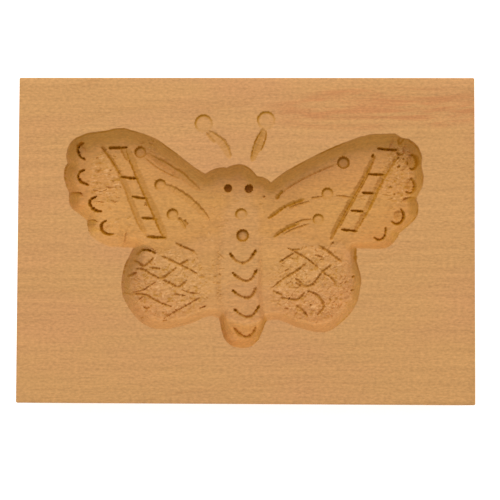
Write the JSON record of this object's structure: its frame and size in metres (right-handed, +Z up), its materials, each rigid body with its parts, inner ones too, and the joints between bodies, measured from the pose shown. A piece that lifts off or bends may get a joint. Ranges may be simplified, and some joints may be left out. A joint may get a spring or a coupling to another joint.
{
  "type": "butter mold",
  "caption": "Rectangular block of pale hardwood with a butterfly hollow carved in its top face, for pressing a shape into butter.",
  "frame": {"origin": "middle of the block's flat underside", "axes": "+X along the grain and the long side, +Y across the grain towards the butterfly's head, +Z up out of the carved face"},
  "size_m": [0.14, 0.1, 0.02],
  "materials": {
    "wood": "bare sanded beech or maple, carved hollow left from the gouge"
  },
  "bodies": {
    "root": {"mold_block": "wood"}
  },
  "joints": []
}
